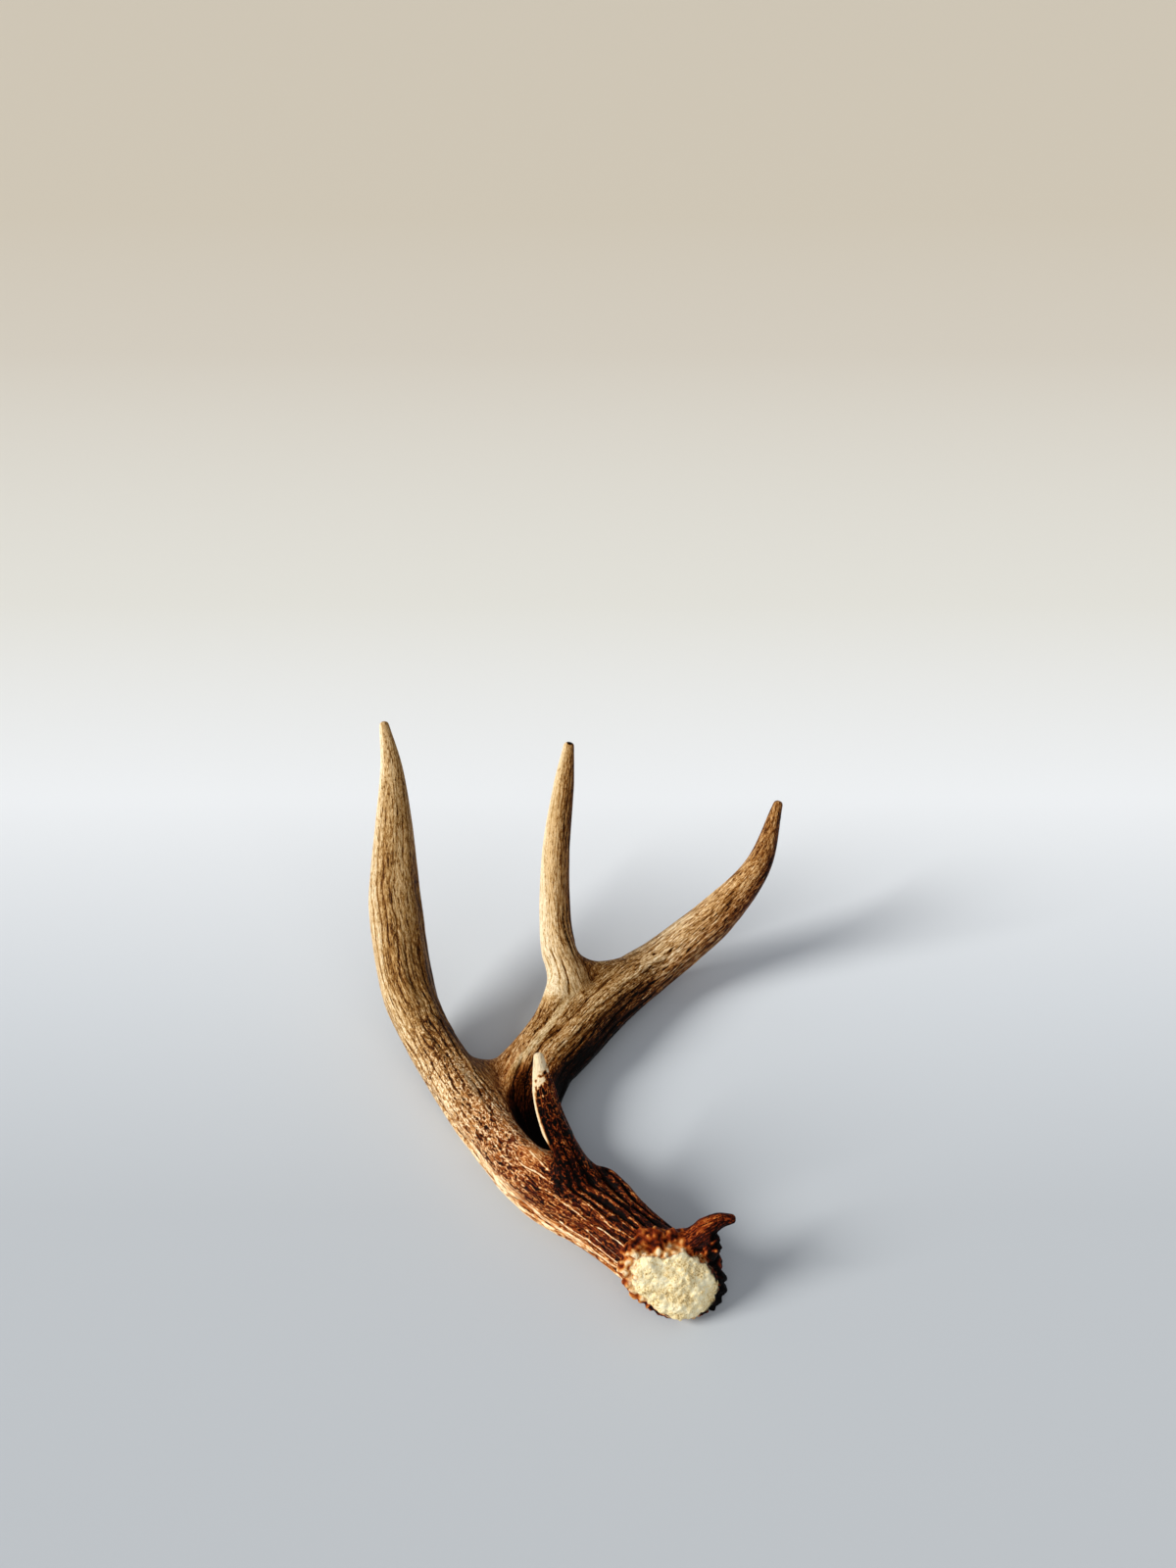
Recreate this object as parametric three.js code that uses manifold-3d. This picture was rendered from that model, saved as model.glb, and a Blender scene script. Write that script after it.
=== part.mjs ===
// A deer antler, shed from the left side of the head, lying on the outer face of its beam.
// Millimetres, +Z up. The origin is on the surface it lies on, under the middle of its box.
// The antler is one grown piece, split at its forks into the beam's three lengths and the tines.

import * as THREE from 'three';
import { mergeVertices } from 'three/addons/utils/BufferGeometryUtils.js';
import Module from 'manifold-3d';

const wasm = await Module();
wasm.setup();

// Routes, from root to tip. Each point is [x, y, z, half width, half thickness]: the middle of the
// section, how far it reaches to each side along the ground, and how far across that.

// The lower beam, from the burr to the first fork, runs straight on into the second tine.
const STEM_ROUTE = [
  [44, -129, 20, 16, 16],
  [17, -106, 20, 16.8, 16.8],
  [-13, -83, 20, 17.6, 17.6],
  [-45, -47, 18, 14.2, 17.4],
  [-73, -4, 18.5, 13.6, 18.5],
  [-85, 15, 23, 13.6, 17.4],
  [-95, 33, 34, 15, 16.4],
  [-105, 70, 65, 15.6, 13.4],
  [-106.8, 88, 81, 13.9, 11.6],
  [-108, 109, 100, 11, 9],
  [-110.6, 134, 124, 6.6, 5.4],
  [-115.8, 153, 142, 3, 2.9],
];

// The main beam leaves the lower beam's far side, passes the second fork and bends up to its end.
const BEAM_ROUTE = [
  [2, -90, 18, 13, 13],
  [-15, -64, 15, 14.5, 14],
  [-24, -36, 14.5, 16.5, 14],
  [-19, -8, 15, 18, 15],
  [-5, 12, 16, 18.4, 16],
  [12, 36, 16.5, 17.5, 17],
  [32, 58, 17, 16, 16.8],
  [51, 73, 20.5, 14.2, 14.2],
  [69, 84, 29, 13.5, 13.5],
  [86, 93, 40, 12.4, 12.4],
  [112, 110, 66, 8.2, 8.2],
  [125, 133, 97, 3, 2.9],
];

const THIRD_TINE_ROUTE = [
  [6, 28, 14, 12, 12],
  [-3, 46, 31, 12, 12],
  [-9, 58, 45, 10.6, 10.6],
  [-11.2, 69, 58, 9, 8.8],
  [-11.1, 97, 87, 8.1, 7.6],
  [-6.6, 131, 113, 6.4, 6],
  [-3.8, 151.5, 127.5, 3.4, 3.3],
];

const BROW_TINE_ROUTE = [
  [13, -99, 18, 12, 9],
  [7, -93, 28, 10.6, 7],
  [1, -88, 38, 9.6, 6.4],
  [-5, -82, 48, 8, 5.2],
  [-10, -75, 58, 7, 4.2],
  [-13.6, -67, 68.5, 5.8, 3.8],
  [-16.5, -57, 82, 2.4, 2.4],
];

// The hooked spur that stands off the burr.
const SPUR_ROUTE = [
  [46, -125, 24, 7, 7],
  [56, -124, 31, 5.8, 5.6],
  [63, -122, 36.5, 5, 4.6],
  [69.5, -120, 39.5, 3.8, 3.6],
  [75.5, -120, 41, 2.2, 2.2],
];

// Bone that fills the forks: the palm between the lower beam and the hollow's rim with its cover,
// the saddle of each fork, the web from the first fork up to the third tine, and the keel from the
// brow tine's root towards the burr.
const PALM_ROUTE = [
  [-6, -84, 18, 12, 12],
  [-24, -64, 17, 12, 12.5],
  [-38, -44, 16, 12.5, 12],
  [-48, -18, 16, 12, 11],
];
const PALM_COVER_ROUTE = [
  [-12, -84, 24, 9, 11],
  [-28, -66, 24, 8.5, 10.5],
  [-39, -49, 23.5, 8.5, 10],
  [-47, -31, 22, 9.5, 9.5],
  [-50, -17, 20, 9, 8.5],
];
const KEEL_ROUTE = [
  [6, -90, 31.5, 7, 7.5],
  [17.5, -91, 29, 7.3, 8],
  [24.4, -98, 27.5, 7.3, 8],
  [34.7, -109, 26.5, 6, 7.5],
];
const FIRST_SADDLE_ROUTE = [
  [-74, 4, 20, 9, 9],
  [-62, -9, 19, 8, 8],
  [-48, -12, 18, 7.5, 8],
  [-36, -10, 18, 8, 8],
  [-22, 2, 18, 9, 9],
];
const SECOND_SADDLE_ROUTE = [
  [-5, 57, 42, 6, 6],
  [4, 53, 35, 7, 7.5],
  [15, 55, 29.5, 7.5, 7.5],
  [28, 61, 26, 8, 8],
];
const WEB_ROUTE = [
  [-25, 8, 19.5, 8.5, 9.5],
  [-14, 24, 24, 9.5, 10],
  [-7, 40, 32, 10, 10],
  [-7, 52, 40, 8, 8],
];

// The sharp rim along the first fork's hollow, and the low rib that carries it on up the beam.
const HOLLOW_RIM_ROUTE = [
  [4, -92, 32, 2, 3],
  [-12, -79, 31, 3, 4],
  [-24, -66, 28, 3.4, 5],
  [-33, -50, 25, 3.6, 6],
  [-36, -32, 24, 3.6, 5],
  [-30, -13, 26, 3.4, 4],
  [-20, 2, 27, 3, 3.6],
];
const BEAM_RIB_ROUTE = [
  [-18, 5, 27, 3.2, 3.8],
  [-10, 19, 28, 3, 3.6],
  [2, 38, 31, 2.6, 3],
  [12, 52, 31, 2, 2],
];

// The hollow below the rim: an egg cut out of the main beam's root, its long axis level.
const HOLLOW_CENTRE = [-19, -48, 36];
const HOLLOW_HALF_SIZE = [12.5, 30, 20];
const HOLLOW_TURN = 16;

// The burr at the beam's root: a ring of pearls round the domed, oval seal that was joined to the
// skull. The seal faces outward at SEAL_TURN to the right and SEAL_TILT up, and its long axis is
// turned by SEAL_ROLL in its own plane.
const SEAL_CENTRE = [49, -139, 19];
const SEAL_HALF_LENGTH = 22.5;
const SEAL_HALF_WIDTH = 15.5;
const SEAL_DOME = 5;
const SEAL_TURN = 15;
const SEAL_TILT = 30;
const SEAL_ROLL = -40;
const BURR_RING_THICK = 3.6;
const BURR_SET_BACK = 6;
const BURR_DEPTH = 17;
const BURR_NARROWING = 0.72;
const PEARLS = 21;
const PEARL_RADIUS = [2.6, 4.3];
const PEARL_STAND = 2.2;
const PEARL_UNEVENNESS = 0.22;
const PEARL_SWING = 1.4;

// The ring and its pearls are shifted towards the seal's upper edge, and the pearls shrink where
// the ring comes near the ground.
const BURR_SHIFT = [-0.2, 1.1];
const PEARL_SMALLEST_AT = 285;
const PEARL_SHRINKING = 0.5;

// The ridges that run along the antler: how many lie round a branch, how high they stand at its
// root and at its tip, and how far apart their slow waves lie.
const STEM_RIDGES = { count: 7, root: 1.5, tip: 0.1, wave: 38 };
const BEAM_RIDGES = { count: 6, root: 1.1, tip: 0.1, wave: 46 };
const TINE_RIDGES = { count: 4, root: 0.7, tip: 0.1, wave: 33 };
const SMOOTH = { count: 0, root: 0, tip: 0, wave: 1 };

// The splits at the forks: how far along each route a length starts, from 0 at its root to 1 at
// its tip, and the clear gap there.
const SECOND_TINE_START = 0.385;
const BEAM_MIDDLE_START = 0.3;
const BEAM_END_START = 0.585;
const THIRD_TINE_START = 0.28;
const BROW_TINE_START = 0.4;
const SPLIT_GAP = 0.3;
const SLEEVE_SPARE = 1.3;
const GAP_SLEEVE_SPARE = 1.38;

// How far a tip's round end stands past its last ring, as a share of its half width.
const TIP_ROUNDING = 0.7;

// The block of ground that the antler's underside is cut flat by.
const GROUND_SIZE = 600;
const GROUND_DEPTH = 60;

// Where the part's origin lies in the frame of the routes.
const ORIGIN = [3.15, 3, 0];

const UP = new THREE.Vector3(0, 0, 1);

// A closed geometry as a solid that can be joined and cut.
function solidOf(geometry) {
  const bare = geometry.clone();
  bare.deleteAttribute('normal');
  bare.deleteAttribute('uv');
  const merged = mergeVertices(bare, 1e-4);
  return new wasm.Manifold(new wasm.Mesh({
    numProp: 3,
    vertProperties: new Float32Array(merged.attributes.position.array),
    triVerts: new Uint32Array(merged.index.array),
  }));
}

function geometryOf(solid) {
  const mesh = solid.getMesh();
  const geometry = new THREE.BufferGeometry();
  geometry.setAttribute('position', new THREE.BufferAttribute(mesh.vertProperties, 3));
  geometry.setIndex(new THREE.BufferAttribute(mesh.triVerts, 1));
  const faceted = geometry.toNonIndexed();
  faceted.translate(-ORIGIN[0], -ORIGIN[1], -ORIGIN[2]);
  faceted.computeVertexNormals();
  return faceted;
}

function joined(solids) {
  return solids.reduce((whole, solid) => whole.add(solid));
}

// The middle line of a route, and its half width and half thickness, both by the same parameter.
function routeCurves(route) {
  const line = new THREE.CatmullRomCurve3(route.map(([x, y, z]) => new THREE.Vector3(x, y, z)));
  const sizes = new THREE.CatmullRomCurve3(route.map(([, , , half, thick]) => {
    return new THREE.Vector3(half, thick, 0);
  }));
  return { line, sizes };
}

// The section's two directions at a point of the line: level to the side, and across that.
function sectionAxes(line, t) {
  const along = line.getTangent(t);
  const side = new THREE.Vector3().crossVectors(along, UP).normalize();
  const across = new THREE.Vector3().crossVectors(side, along);
  return { along, side, across };
}

// How far the ridges lift the surface at an angle round the branch, a distance along it in
// millimetres and the same as a share of its length.
function ridgeHeight(ridges, angle, distance, share) {
  const height = THREE.MathUtils.lerp(ridges.root, ridges.tip, share);
  const drift = 0.7 * Math.sin(distance / ridges.wave) + 0.4 * Math.sin(distance / ridges.wave * 2.3);
  const main = Math.cos(ridges.count * angle + 2 * drift);
  const small = Math.cos((ridges.count + 4) * angle - 3 * drift);
  return height * (0.7 * main + 0.3 * small);
}

// A branch along a route: a sphere whose rings are laid along the line, flat at its root and
// round at its tip. It runs over the shares from and to of the route, and spare widens it.
function branchGeometry(route, sides, rings, ridges = SMOOTH, [from, to] = [0, 1], spare = 1) {
  const { line, sizes } = routeCurves(route);
  const geometry = new THREE.SphereGeometry(1, sides, rings);
  const position = geometry.attributes.position;
  const length = line.getLength();
  for (let row = 0; row <= rings; row += 1) {
    const share = THREE.MathUtils.clamp((row - 1) / (rings - 2), 0, 1);
    const place = THREE.MathUtils.lerp(from, to, share);
    const t = line.getUtoTmapping(place);
    const centre = line.getPoint(t);
    const size = sizes.getPoint(t);
    const { along, side, across } = sectionAxes(line, t);
    if (row === rings && to === 1) centre.addScaledVector(along, TIP_ROUNDING * size.x * spare);
    for (let column = 0; column <= sides; column += 1) {
      const angle = (column % sides) / sides * 2 * Math.PI;
      const point = centre.clone();
      if (row > 0 && row < rings) {
        const lift = ridgeHeight(ridges, angle, place * length, place);
        point.addScaledVector(side, Math.cos(angle) * (size.x * spare + lift));
        point.addScaledVector(across, Math.sin(angle) * (size.y * spare + lift));
      }
      position.setXYZ(row * (sides + 1) + column, point.x, point.y, point.z);
    }
  }
  return geometry;
}

function branch(route, sides, rings, ridges, stretch) {
  return solidOf(branchGeometry(route, sides, rings, ridges, stretch));
}

// The share of a route that lies just before a split, by the width of the gap.
function beforeGap(route, start) {
  return start - SPLIT_GAP / routeCurves(route).line.getLength();
}

// A smooth sleeve from a split to past the tip, wide enough to take that length out of the bone,
// and a wider one that takes the gap too.
function pastSplit(route, start) {
  return solidOf(branchGeometry(route, 24, 24, SMOOTH, [start, 1], SLEEVE_SPARE));
}

function pastSplitAndGap(route, start) {
  const stretch = [beforeGap(route, start), 1];
  return solidOf(branchGeometry(route, 24, 24, SMOOTH, stretch, GAP_SLEEVE_SPARE));
}

// The seal's own frame: X along its long axis, Y across it and Z outward.
function sealFrame() {
  const turn = THREE.MathUtils.degToRad(SEAL_TURN);
  const tilt = THREE.MathUtils.degToRad(SEAL_TILT);
  const outward = new THREE.Vector3(
    Math.sin(turn) * Math.cos(tilt),
    -Math.cos(turn) * Math.cos(tilt),
    Math.sin(tilt),
  );
  const level = new THREE.Vector3().crossVectors(UP, outward).normalize();
  level.applyAxisAngle(outward, THREE.MathUtils.degToRad(SEAL_ROLL));
  const across = new THREE.Vector3().crossVectors(outward, level);
  const frame = new THREE.Matrix4().makeBasis(level, across, outward);
  frame.setPosition(...SEAL_CENTRE);
  return frame;
}

function seal() {
  const dome = new THREE.SphereGeometry(1, 28, 8);
  dome.rotateX(Math.PI / 2);
  dome.scale(SEAL_HALF_LENGTH, SEAL_HALF_WIDTH, SEAL_DOME);
  dome.applyMatrix4(sealFrame());
  return solidOf(dome);
}

// The thick ring that carries the pearls.
function burrRing() {
  const ring = new THREE.TorusGeometry(1, BURR_RING_THICK / SEAL_HALF_LENGTH, 6, 28);
  ring.scale(SEAL_HALF_LENGTH, SEAL_HALF_WIDTH, SEAL_HALF_LENGTH);
  ring.translate(...BURR_SHIFT, -BURR_SET_BACK);
  ring.applyMatrix4(sealFrame());
  return solidOf(ring);
}

// The cone that fills the ring behind the seal and narrows back into the beam.
function burrCore() {
  const core = new THREE.CylinderGeometry(1, BURR_NARROWING, BURR_DEPTH, 28);
  core.rotateX(Math.PI / 2);
  core.scale(SEAL_HALF_LENGTH - 1, SEAL_HALF_WIDTH - 1, 1);
  core.translate(0, 0, -BURR_DEPTH / 2);
  core.applyMatrix4(sealFrame());
  return solidOf(core);
}

// The pearls: lumps of several sizes in an uneven ring, each sunk by half in the burr.
function pearls() {
  const lumps = [];
  const [smallest, largest] = PEARL_RADIUS;
  for (let index = 0; index < PEARLS; index += 1) {
    const uneven = Math.sin(index * 5.1);
    const angle = (index + PEARL_UNEVENNESS * uneven) / PEARLS * 2 * Math.PI;
    const fromSmallest = angle - THREE.MathUtils.degToRad(PEARL_SMALLEST_AT);
    const grown = 1 - PEARL_SHRINKING * Math.max(0, Math.cos(fromSmallest)) ** 2;
    const share = 0.5 + 0.5 * Math.sin(index * 2.7);
    const radius = THREE.MathUtils.lerp(smallest, largest, share) * grown;
    const stand = PEARL_STAND * grown;
    const lump = new THREE.SphereGeometry(radius, 6, 5);
    lump.rotateX(index * 0.9);
    lump.translate(
      (SEAL_HALF_LENGTH + stand) * Math.cos(angle) + BURR_SHIFT[0],
      (SEAL_HALF_WIDTH + stand) * Math.sin(angle) + BURR_SHIFT[1],
      -BURR_SET_BACK + PEARL_SWING * Math.sin(index * 3.9),
    );
    lump.applyMatrix4(sealFrame());
    lumps.push(solidOf(lump));
  }
  return joined(lumps);
}

function hollow() {
  const egg = new THREE.SphereGeometry(1, 20, 10);
  egg.scale(...HOLLOW_HALF_SIZE);
  egg.rotateZ(THREE.MathUtils.degToRad(HOLLOW_TURN));
  egg.translate(...HOLLOW_CENTRE);
  return solidOf(egg);
}

// What lies below the ground is cut off, which leaves the small flats that the antler rests on.
function groundBlock() {
  const block = new THREE.BoxGeometry(GROUND_SIZE, GROUND_SIZE, GROUND_DEPTH);
  block.translate(0, 0, -GROUND_DEPTH / 2);
  return solidOf(block);
}

// The bone before the split in the main beam, with the brow tine and second tine still on it.
function nearBone() {
  const hollowed = joined([
    branch(STEM_ROUTE, 30, 31, STEM_RIDGES),
    branch(BEAM_ROUTE, 24, 11, BEAM_RIDGES, [0, BEAM_MIDDLE_START]),
    branch(PALM_ROUTE, 14, 9),
    branch(PALM_COVER_ROUTE, 14, 9),
  ]).subtract(hollow());
  return joined([
    hollowed,
    branch(HOLLOW_RIM_ROUTE, 8, 14),
    branch(BROW_TINE_ROUTE, 16, 12, TINE_RIDGES),
    branch(KEEL_ROUTE, 10, 7),
    branch(SPUR_ROUTE, 8, 8),
    branch(FIRST_SADDLE_ROUTE, 10, 9),
    seal(),
    burrRing(),
    burrCore(),
    pearls(),
  ]).subtract(groundBlock());
}

// The bone after that split, with the third tine still on it.
function farBone() {
  return joined([
    branch(BEAM_ROUTE, 28, 23, BEAM_RIDGES, [BEAM_MIDDLE_START, 1]),
    branch(THIRD_TINE_ROUTE, 16, 18, TINE_RIDGES),
    branch(SECOND_SADDLE_ROUTE, 12, 10),
    branch(WEB_ROUTE, 12, 8),
    branch(BEAM_RIB_ROUTE, 8, 12),
  ]).subtract(groundBlock());
}

const near = nearBone();
const far = farBone();

const beamBase = near
  .subtract(pastSplitAndGap(STEM_ROUTE, SECOND_TINE_START))
  .subtract(pastSplitAndGap(BROW_TINE_ROUTE, BROW_TINE_START))
  .subtract(pastSplitAndGap(BEAM_ROUTE, BEAM_MIDDLE_START));
const secondTine = near.intersect(pastSplit(STEM_ROUTE, SECOND_TINE_START));
const browTine = near.intersect(pastSplit(BROW_TINE_ROUTE, BROW_TINE_START));

const beamMiddle = far
  .subtract(pastSplitAndGap(BEAM_ROUTE, BEAM_END_START))
  .subtract(pastSplitAndGap(THIRD_TINE_ROUTE, THIRD_TINE_START));
const beamEnd = far.intersect(pastSplit(BEAM_ROUTE, BEAM_END_START));
const thirdTine = far.intersect(pastSplit(THIRD_TINE_ROUTE, THIRD_TINE_START));

function antlerMaterial(color, roughness) {
  return new THREE.MeshStandardMaterial({ color, roughness, metalness: 0 });
}

function namedMesh(name, solid, material) {
  const mesh = new THREE.Mesh(geometryOf(solid), material);
  mesh.name = name;
  return mesh;
}

const antler = new THREE.Group();
antler.add(
  namedMesh('beam_base', beamBase, antlerMaterial(0x7d4a2c, 0.45)),
  namedMesh('brow_tine', browTine, antlerMaterial(0x8a5a38, 0.45)),
  namedMesh('second_tine', secondTine, antlerMaterial(0xb99d7c, 0.4)),
  namedMesh('beam_middle', beamMiddle, antlerMaterial(0x9c7550, 0.45)),
  namedMesh('third_tine', thirdTine, antlerMaterial(0xc2a987, 0.4)),
  namedMesh('beam_end', beamEnd, antlerMaterial(0xb3936c, 0.4)),
);

export default antler;
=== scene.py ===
"""A shed deer antler lying on a pale floor, seen from in front and above.

The bone is grown along the routes of the CAD solids: tubes and lumps are melted into one skin,
the forks are smoothed, and ridges, grooves and grains are pushed out of it along the grain of each
branch. The skin is then parted at the forks, so that one piece stands for each CAD node.
"""
import math

import bmesh
import bpy
import numpy as np
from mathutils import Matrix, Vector


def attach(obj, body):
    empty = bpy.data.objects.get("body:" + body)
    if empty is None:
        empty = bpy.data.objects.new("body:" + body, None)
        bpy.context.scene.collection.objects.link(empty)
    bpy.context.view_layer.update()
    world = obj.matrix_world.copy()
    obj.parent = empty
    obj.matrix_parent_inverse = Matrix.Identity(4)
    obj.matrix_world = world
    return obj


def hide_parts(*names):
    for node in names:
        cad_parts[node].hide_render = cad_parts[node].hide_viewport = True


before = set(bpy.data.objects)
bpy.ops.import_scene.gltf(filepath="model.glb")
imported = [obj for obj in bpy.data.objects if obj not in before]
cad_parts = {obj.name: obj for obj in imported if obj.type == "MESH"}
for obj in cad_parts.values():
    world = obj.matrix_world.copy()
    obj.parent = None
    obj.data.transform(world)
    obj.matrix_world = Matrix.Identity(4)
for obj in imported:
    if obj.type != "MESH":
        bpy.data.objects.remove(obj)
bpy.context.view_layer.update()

MM = 0.001
UP = np.array([0.0, 0.0, 1.0])

# ---- Routes and sizes, in millimetres

# A route's rows run from root to tip: centre x, y, z, half width, half thickness. The routes are
# those of the solids, whose own origin lies at ORIGIN in the routes' frame.

ORIGIN = np.array([3.15, 3.0, 0.0])

STEM_ROUTE = [
    (44, -129, 20, 16, 16), (17, -106, 20, 16.8, 16.8), (-13, -83, 20, 17.6, 17.6),
    (-45, -47, 18, 14.2, 17.4), (-73, -4, 18.5, 13.6, 18.5), (-85, 15, 23, 13.6, 17.4),
    (-95, 33, 34, 15, 16.4), (-105, 70, 65, 15.6, 13.4), (-106.8, 88, 81, 13.9, 11.6),
    (-108, 109, 100, 11, 9), (-110.6, 134, 124, 6.6, 5.4), (-115.8, 153, 142, 3, 2.9),
]
BEAM_ROUTE = [
    (2, -90, 18, 13, 13), (-15, -64, 15, 14.5, 14), (-24, -36, 14.5, 16.5, 14),
    (-19, -8, 15, 18, 15), (-5, 12, 16, 18.4, 16), (12, 36, 16.5, 17.5, 17),
    (32, 58, 17, 16, 16.8), (51, 73, 20.5, 14.2, 14.2), (69, 84, 29, 13.5, 13.5),
    (86, 93, 40, 12.4, 12.4), (112, 110, 66, 8.2, 8.2), (125, 133, 97, 3, 2.9),
]
THIRD_ROUTE = [
    (6, 28, 14, 12, 12), (-3, 46, 31, 12, 12), (-9, 58, 45, 10.6, 10.6), (-11.2, 69, 58, 9, 8.8),
    (-11.1, 97, 87, 8.1, 7.6), (-6.6, 131, 113, 6.4, 6), (-3.8, 151.5, 127.5, 3.4, 3.3),
]
BROW_ROUTE = [
    (13, -99, 18, 12, 9), (7, -93, 28, 10.6, 7), (1, -88, 38, 9.6, 6.4), (-5, -82, 48, 8, 5.2),
    (-10, -75, 58, 7, 4.2), (-13.6, -67, 68.5, 5.8, 3.8), (-16.5, -57, 82, 2.4, 2.4),
]
SPUR_ROUTE = [
    (46, -125, 24, 7, 7), (56, -124, 31, 5.8, 5.6), (63, -122, 36.5, 5, 4.6),
    (69.5, -120, 39.5, 3.8, 3.6), (75.5, -120, 41, 2.2, 2.2),
]
# Bone that fills the forks: the palm between the lower beam and the rim with its cover, the keel
# from the brow tine's root towards the burr, a saddle at each fork, and the web up to the third tine.
PALM_ROUTE = [
    (-6, -84, 18, 12, 12), (-24, -64, 17, 12, 12.5), (-38, -44, 16, 12.5, 12),
    (-48, -18, 16, 12, 11),
]
COVER_ROUTE = [
    (-12, -84, 24, 9, 11), (-28, -66, 24, 8.5, 10.5), (-39, -49, 23.5, 8.5, 10),
    (-47, -31, 22, 9.5, 9.5), (-50, -17, 20, 9, 8.5),
]
KEEL_ROUTE = [
    (6, -90, 31.5, 7, 7.5), (17.5, -91, 29, 7.3, 8), (24.4, -98, 27.5, 7.3, 8),
    (34.7, -109, 26.5, 6, 7.5),
]
FIRST_SADDLE_ROUTE = [
    (-74, 4, 20, 9, 9), (-62, -9, 19, 8, 8), (-48, -12, 18, 7.5, 8), (-36, -10, 18, 8, 8),
    (-22, 2, 18, 9, 9),
]
SECOND_SADDLE_ROUTE = [
    (-5, 57, 42, 6, 6), (4, 53, 35, 7, 7.5), (15, 55, 29.5, 7.5, 7.5), (28, 61, 26, 8, 8),
]
WEB_ROUTE = [
    (-44, -12, 16, 7, 7), (-25, 8, 19.5, 8.5, 9.5), (-14, 24, 24, 9.5, 10), (-7, 40, 32, 10, 10),
    (-7, 52, 40, 8, 8),
]
# The sharp rim along the hollow, and the low rib that carries it on up the beam.
RIM_ROUTE = [
    (4, -92, 32, 2, 3), (-12, -79, 31, 3, 4), (-24, -66, 28, 3.4, 5), (-33, -50, 25, 3.6, 6),
    (-36, -32, 24, 3.6, 5), (-30, -13, 26, 3.4, 4), (-18, 5, 27, 3.2, 3.8), (-10, 19, 28, 3, 3.6),
    (2, 38, 31, 2.6, 3), (12, 52, 31, 2, 2),
]

# Ridges that run along a branch: how many lie round it, their height at its root and tip, and how
# far apart their slow waves lie.
STEM_RIDGES = (7, 1.5, 0.1, 38)
BEAM_RIDGES = (6, 1.1, 0.1, 46)
TINE_RIDGES = (4, 0.7, 0.1, 33)

# The hollow below the rim: an egg, its half sizes and its turn about the upright.
HOLLOW_CENTRE = np.array([-19.0, -48.0, 36.0])
HOLLOW_HALF_SIZE = np.array([12.5, 30.0, 20.0])
HOLLOW_TURN = math.radians(16)

# The seal: an oval dome, turned to the right, tilted up, and rolled about its own outward line.
SEAL_CENTRE = np.array([49.0, -139.0, 19.0])
SEAL_HALF_LENGTH = 22.5
SEAL_HALF_WIDTH = 15.5
SEAL_DOME = 5.0
SEAL_TURN = math.radians(15)
SEAL_TILT = math.radians(30)
SEAL_ROLL = math.radians(-40)

# The burr: a cone behind the seal, a ring of lumps round it, set back from the seal's middle, and
# pearls on the ring, which are smallest at one angle round the seal.
BURR_DEPTH = 17.0
BURR_NARROWING = 0.72
BURR_SET_BACK = 6.0
BURR_SHIFT = (-0.2, 1.1)
RING_LUMPS = 72
RING_LUMP_RADIUS = 3.6
PEARLS = 21
PEARL_RADIUS = (2.6, 4.3)
PEARL_STAND = 2.2
PEARL_UNEVENNESS = 0.22
PEARL_SWING = 1.4
PEARL_SMALLEST_AT = math.radians(285)
PEARL_SHRINKING = 0.5

# Small pearls under the spur's root: centre and radius, in the routes' frame.
SPUR_PEARLS = [
    (64, -126, 34, 3.4), (67.3, -126.2, 33.4, 2.9), (68, -128.6, 31, 2.6), (63.5, -128.5, 30.5, 3.8),
    (66, -129.5, 28, 3.2),
]

# Where the crust reaches into the seal's outline: the middle and width of that notch, as an angle
# round the seal, and its depth.
SEAL_NOTCH_AT = math.radians(135)
SEAL_NOTCH_WIDTH = math.radians(24)
SEAL_NOTCH_DEPTH = 0.3

# The smooth pale patch on the hollow's lower lip.
LIP_MIDDLE = np.array([-19.0, -81.0, 36.0]) - ORIGIN

# The dark spot painted at the third tine's tip as the shade of a small hole: its place from the tip's
# middle.
TIP_PIT_SHADE = np.array([0.3, -2.4, 1.2])

# Where the lengths part, as shares of their routes.
SECOND_TINE_START = 0.385
BEAM_MIDDLE_START = 0.3
BEAM_END_START = 0.585
THIRD_TINE_START = 0.28
BROW_TINE_START = 0.4

# ---- Small helpers


def unit(vectors):
    """Vectors brought to a length of one."""
    return vectors / np.linalg.norm(vectors, axis=-1, keepdims=True)


def smoothstep(low, high, value):
    """From 0 at low to 1 at high, with soft ends; low may be above high."""
    t = np.clip((value - low) / (high - low), 0, 1)
    return t * t * (3 - 2 * t)


def bell(value, middle, width):
    """One at the middle, falling off to both sides."""
    return np.exp(-((value - middle) / width) ** 2)


# A table of random values, and the primes that spread the cells of space over it.
LATTICE = np.random.default_rng(20).random(4096)
CELL_PRIMES = (73856093, 19349663, 83492791)
SEED_PRIME = 7919


def lattice_slot(cell, seed):
    """Each cell's place in the lattice of random values."""
    key = cell * CELL_PRIMES
    return (key[:, 0] ^ key[:, 1] ^ key[:, 2] ^ (seed * SEED_PRIME)) & (len(LATTICE) - 1)


def noise(points, seed):
    """Smooth noise from 0 to 1 at each point of an (n, 3) array, one lump to a unit."""
    cell = np.floor(points).astype(np.int64)
    part = points - cell
    part = part * part * (3 - 2 * part)
    total = np.zeros(len(points))
    for corner in np.ndindex(2, 2, 2):
        share = np.where(corner, part, 1 - part).prod(axis=1)
        total += share * LATTICE[lattice_slot(cell + corner, seed)]
    return total


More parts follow.
